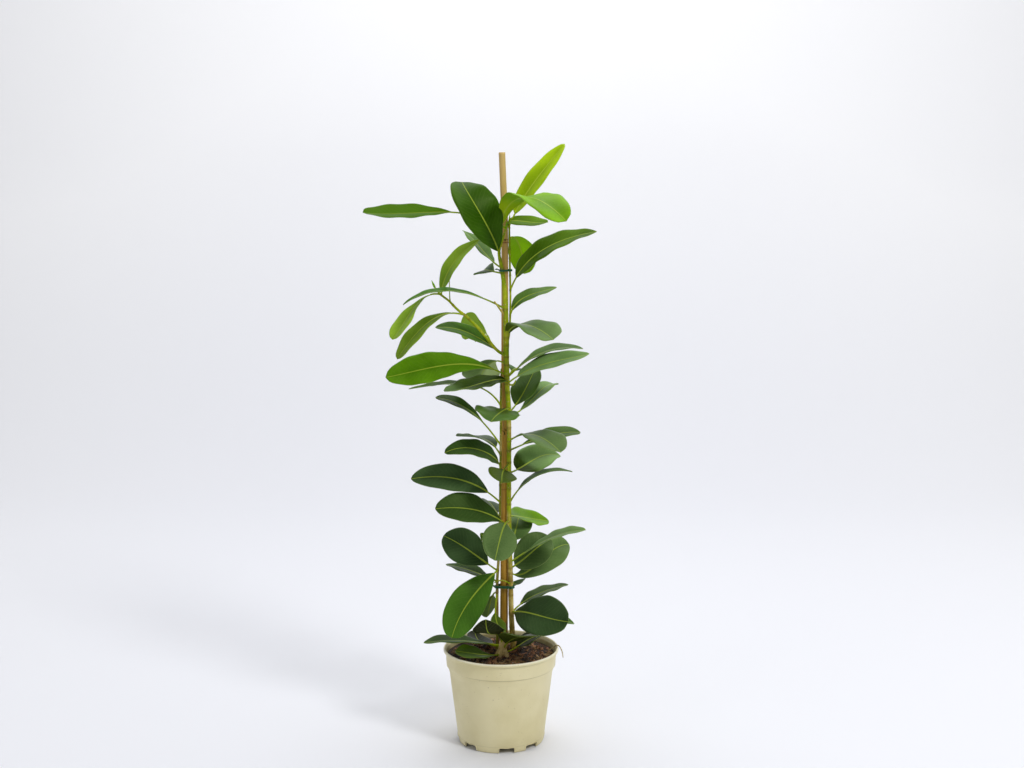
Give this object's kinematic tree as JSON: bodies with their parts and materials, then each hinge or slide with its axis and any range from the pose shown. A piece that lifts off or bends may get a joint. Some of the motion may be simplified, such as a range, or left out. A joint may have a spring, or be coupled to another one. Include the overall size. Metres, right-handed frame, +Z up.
{
  "type": "potted indian laurel fig",
  "caption": "Tall leafy fig with several slender stems tied to an upright cane, growing in a round tapered nursery pot filled with soil.",
  "frame": {"origin": "middle of the pot's underside, on the pot's own axis, at the surface it rests on", "axes": "+Z up along the pot's axis, -Y towards the side that the picture shows, +X to that view's right"},
  "size_m": [0.334, 0.2071, 0.8765],
  "materials": {
    "pot": "satin",
    "soil": "rough",
    "bamboo_cane": "satin",
    "tall_stem": "satin",
    "left_stem": "satin",
    "short_stem": "satin",
    "top_tie": "satin",
    "middle_tie": "satin",
    "lower_tie": "satin",
    "dry_twig": "matte"
  },
  "bodies": {
    "root": {"pot": "pot", "soil": "soil", "bamboo_cane": "bamboo_cane", "tall_stem": "tall_stem", "left_stem": "left_stem", "short_stem": "short_stem", "top_tie": "top_tie", "middle_tie": "middle_tie", "lower_tie": "lower_tie", "dry_twig": "dry_twig"}
  },
  "joints": []
}
